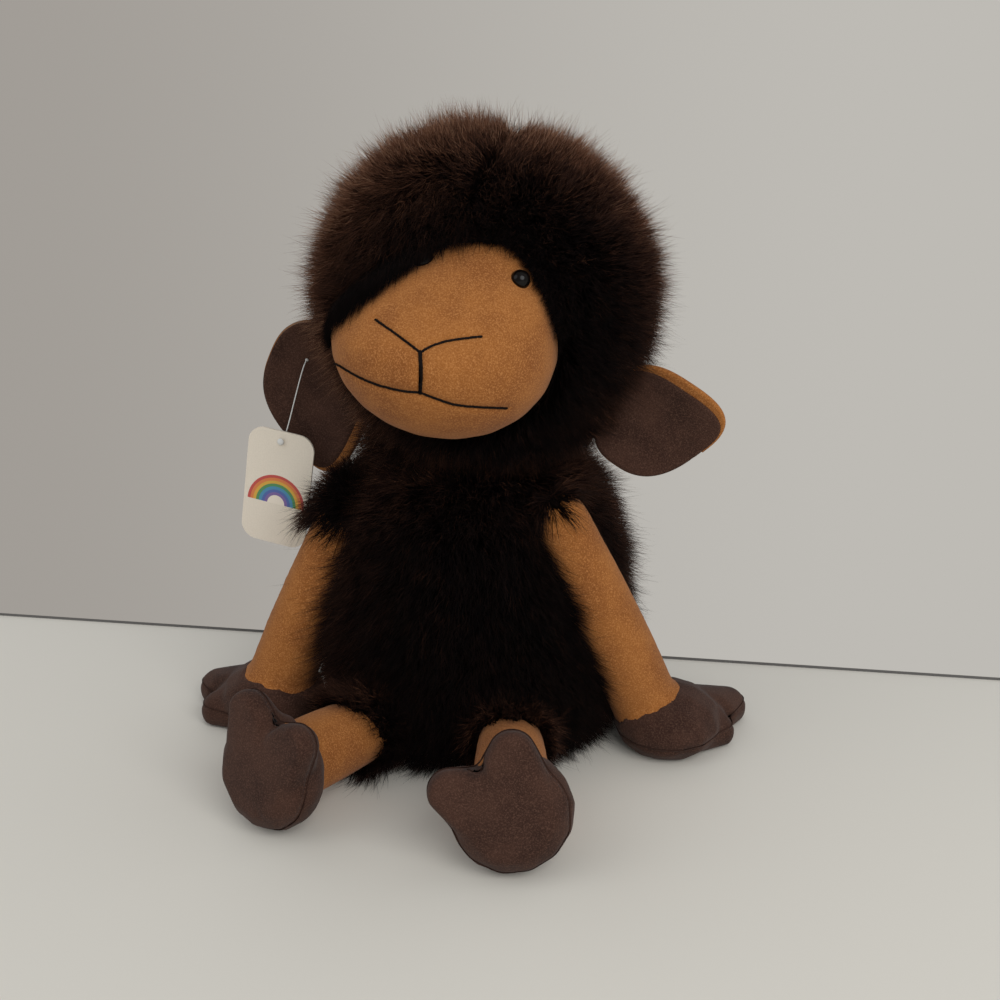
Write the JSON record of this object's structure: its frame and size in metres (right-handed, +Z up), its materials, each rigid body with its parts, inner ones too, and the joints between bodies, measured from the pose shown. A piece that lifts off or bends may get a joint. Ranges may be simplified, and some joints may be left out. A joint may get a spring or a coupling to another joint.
{
  "type": "plush alpaca",
  "caption": "Seated long-pile plush alpaca with a suede face, two-toed suede hooves, floppy ears and a hang tag; head, ears and limbs move.",
  "frame": {"origin": "middle of the bounding box in plan, on the plane that the seat rests on", "axes": "+Z up; the toy faces -Y and its own left is +X"},
  "size_m": [0.2714, 0.2126, 0.2803],
  "materials": {
    "fur": "long dark brown pile",
    "tan_suede": "mottled tan faux suede",
    "dark_suede": "dark brown faux suede",
    "eye": "polished black",
    "thread": "satin-stitched embroidery thread",
    "filling": "polyester fibre",
    "nylon": "moulded nylon",
    "card": "printed card"
  },
  "bodies": {
    "torso": {"body_fur_left": "fur", "body_fur_right": "fur", "body_filling": "filling"},
    "neck": {"neck_fur": "fur", "neck_filling": "filling"},
    "head": {"eye_left": "eye", "eye_washer_left": "nylon", "eye_right": "eye", "eye_washer_right": "nylon", "head_fur_left": "fur", "head_fur_right": "fur", "face_panel": "tan_suede", "head_filling": "filling", "face_stitching": "thread"},
    "ear_left": {"ear_outer_left": "dark_suede", "ear_inner_left": "tan_suede"},
    "ear_right": {"ear_outer_right": "dark_suede", "ear_inner_right": "tan_suede"},
    "pin": {"tag_pin": "nylon"},
    "tag": {"hang_tag": "card"},
    "arm_left": {"arm_left_sleeve": "tan_suede", "arm_left_hoof_upper": "dark_suede", "arm_left_hoof_sole": "dark_suede", "arm_left_filling": "filling"},
    "arm_right": {"arm_right_sleeve": "tan_suede", "arm_right_hoof_upper": "dark_suede", "arm_right_hoof_sole": "dark_suede", "arm_right_filling": "filling"},
    "leg_left": {"leg_left_sleeve": "tan_suede", "leg_left_hoof_upper": "dark_suede", "leg_left_hoof_sole": "dark_suede", "leg_left_filling": "filling"},
    "leg_right": {"leg_right_sleeve": "tan_suede", "leg_right_hoof_upper": "dark_suede", "leg_right_hoof_sole": "dark_suede", "leg_right_filling": "filling"}
  },
  "joints": [
    {"name": "head_turn", "type": "hinge", "parent": "torso", "child": "neck", "pos_m": [-0.00345, 0.03735, 0.135], "axis": [0, 0, 1], "range_deg": [-25, 2], "stiffness_Nm_per_rad": 0.4},
    {"name": "head_nod", "type": "hinge", "parent": "neck", "child": "head", "pos_m": [-0.00345, 0.03735, 0.135], "axis": [1, 0, 0], "range_deg": [-6, 12], "stiffness_Nm_per_rad": 0.4},
    {"name": "ear_fold_left", "type": "hinge", "parent": "head", "child": "ear_left", "pos_m": [0.06979, 0.03735, 0.17111], "axis": [0.515, 0, 0.8572], "range_deg": [-16, 28], "stiffness_Nm_per_rad": 0.03},
    {"name": "ear_fold_right", "type": "hinge", "parent": "head", "child": "ear_right", "pos_m": [-0.06044, 0.03735, 0.18723], "axis": [0.8988, 0, -0.4384], "range_deg": [-2, 22], "stiffness_Nm_per_rad": 0.03},
    {"name": "pin_swing", "type": "hinge", "parent": "ear_right", "child": "pin", "pos_m": [-0.07866, 0.03657, 0.17468], "axis": [0, 1, 0], "range_deg": [-3, 40]},
    {"name": "tag_twist", "type": "hinge", "parent": "pin", "child": "tag", "pos_m": [-0.09066, 0.02757, 0.13568], "axis": [0.1564, 0, 0.9877], "range_deg": [-18, 18]},
    {"name": "arm_lift_left", "type": "hinge", "parent": "torso", "child": "arm_left", "pos_m": [0.05264, 0.00172, 0.119], "axis": [-0.7288, -0.5492, -0.409], "range_deg": [0, 70]},
    {"name": "arm_lift_right", "type": "hinge", "parent": "torso", "child": "arm_right", "pos_m": [-0.04693, 0.00955, 0.119], "axis": [-0.772, 0.5817, 0.2561], "range_deg": [0, 70]},
    {"name": "leg_lift_left", "type": "hinge", "parent": "torso", "child": "leg_left", "pos_m": [0.03526, -0.0189, 0.02], "axis": [-0.9659, -0.2588, 0], "range_deg": [0, 30]},
    {"name": "leg_lift_right", "type": "hinge", "parent": "torso", "child": "leg_right", "pos_m": [-0.02456, -0.0189, 0.02], "axis": [-0.9205, 0.3907, 0], "range_deg": [0, 30]}
  ]
}
